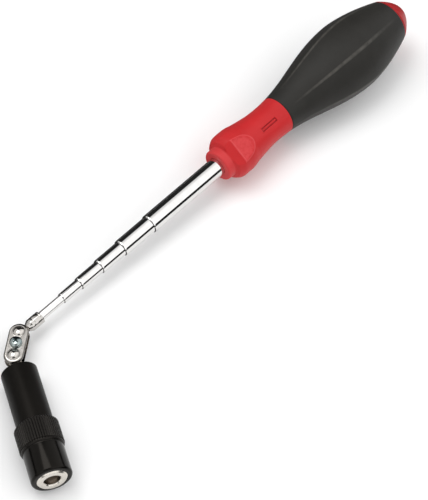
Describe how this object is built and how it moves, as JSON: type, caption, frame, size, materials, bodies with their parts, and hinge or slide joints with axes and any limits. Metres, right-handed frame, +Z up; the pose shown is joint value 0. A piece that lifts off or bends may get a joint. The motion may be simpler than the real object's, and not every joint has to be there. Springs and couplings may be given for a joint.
{
  "type": "telescopic magnetic pickup tool",
  "caption": "Telescopic magnetic pickup tool with a moulded handle, nested chrome tubes, a two-ball swivel and a lit ring-magnet head.",
  "frame": {"origin": "centre of the tool's overall box in X and Y, on the bench plane in Z, as the tool lies with handle and head both down", "axes": "+X along the bench from the swivel to the handle's butt (the tubes rise about 3 degrees towards the butt), +Z up off the bench, the bent head points towards -X and -Y"},
  "size_m": [0.268, 0.074, 0.0319],
  "materials": {
    "red_moulding": "satin moulded",
    "grip_rubber": "matte soft-touch",
    "chrome_tube": "bright polished",
    "brass": "satin",
    "steel": "plain",
    "nickel_steel": "polished",
    "nickel_plate": "bright nickel",
    "zinc_screw": "blue zinc plated",
    "black_anodised": "black satin anodised",
    "black_gloss": "black gloss anodised",
    "white_plastic": "matte",
    "cell_steel": "bright",
    "seal_rubber": "matte",
    "magnet_nickel": "nickel plated",
    "lamp_resin": "clear resin",
    "circuit_board": "solder mask"
  },
  "bodies": {
    "handle": {"handle_core": "red_moulding", "grip_sleeve": "grip_rubber", "butt_cap": "red_moulding", "outer_tube": "chrome_tube", "anchor_bush": "brass", "tube_end_plug": "steel"},
    "tube_2": {"tube_2": "chrome_tube", "friction_sleeve_2": "brass"},
    "tube_3": {"tube_3": "chrome_tube", "friction_sleeve_3": "brass"},
    "tube_4": {"tube_4": "chrome_tube", "friction_sleeve_4": "brass"},
    "tube_5": {"tube_5": "chrome_tube", "friction_sleeve_5": "brass"},
    "tip": {"tip_tube": "chrome_tube", "friction_sleeve_6": "brass", "tip_ferrule": "chrome_tube"},
    "shaft_stud": {"shaft_stud": "nickel_steel"},
    "link": {"upper_clamp_plate": "nickel_plate", "lower_clamp_plate": "nickel_plate", "clamp_screw": "zinc_screw", "lock_washer": "steel", "clamp_nut": "steel"},
    "head_stud": {"head_stud": "nickel_steel"},
    "head": {"battery_barrel": "black_anodised", "battery_liner": "white_plastic", "button_cells": "cell_steel", "contact_spring": "steel", "spring_seat": "brass", "barrel_o_ring": "seal_rubber"},
    "lamp_end": {"knurled_collar": "black_anodised", "nose_sleeve": "black_gloss", "magnet_seat": "steel", "ring_magnet": "magnet_nickel", "led_holder": "white_plastic", "led": "lamp_resin", "circuit_disc": "circuit_board"}
  },
  "joints": [
    {"name": "tube_2_slide", "type": "slide", "parent": "handle", "child": "tube_2", "axis": [-0.9988, 0, -0.0499], "range_m": [-0.0139, 0.0936]},
    {"name": "tube_3_slide", "type": "slide", "parent": "tube_2", "child": "tube_3", "axis": [-0.9988, 0, -0.0499], "range_m": [-0.01, 0.0975]},
    {"name": "tube_4_slide", "type": "slide", "parent": "tube_3", "child": "tube_4", "axis": [-0.9988, 0, -0.0499], "range_m": [-0.0089, 0.0986]},
    {"name": "tube_5_slide", "type": "slide", "parent": "tube_4", "child": "tube_5", "axis": [-0.9988, 0, -0.0499], "range_m": [-0.0073, 0.1002]},
    {"name": "tip_slide", "type": "slide", "parent": "tube_5", "child": "tip", "axis": [-0.9988, 0, -0.0499], "range_m": [-0.0105, 0.0984]},
    {"name": "stud_roll", "type": "hinge", "parent": "tip", "child": "shaft_stud", "pos_m": [-0.09323, 0.02036, 0.00639], "axis": [0.9988, 0, 0.0499], "continuous": true},
    {"name": "link_swing", "type": "hinge", "parent": "shaft_stud", "child": "link", "pos_m": [-0.09323, 0.02036, 0.00639], "axis": [-0.0497, 0.0942, 0.9943], "range_deg": [-121.3, 48.7]},
    {"name": "head_swing", "type": "hinge", "parent": "link", "child": "head_stud", "pos_m": [-0.10147, 0.01435, 0.00655], "axis": [-0.0497, 0.0942, 0.9943], "range_deg": [-110.5, 59.5]},
    {"name": "head_roll", "type": "hinge", "parent": "head_stud", "child": "head", "pos_m": [-0.10147, 0.01435, 0.00655], "axis": [-0.4761, -0.8774, 0.0593], "continuous": true},
    {"name": "lamp_twist", "type": "hinge", "parent": "head", "child": "lamp_end", "pos_m": [-0.1219, -0.02329, 0.00909], "axis": [-0.4761, -0.8774, 0.0593], "range_deg": [0, 90]}
  ]
}
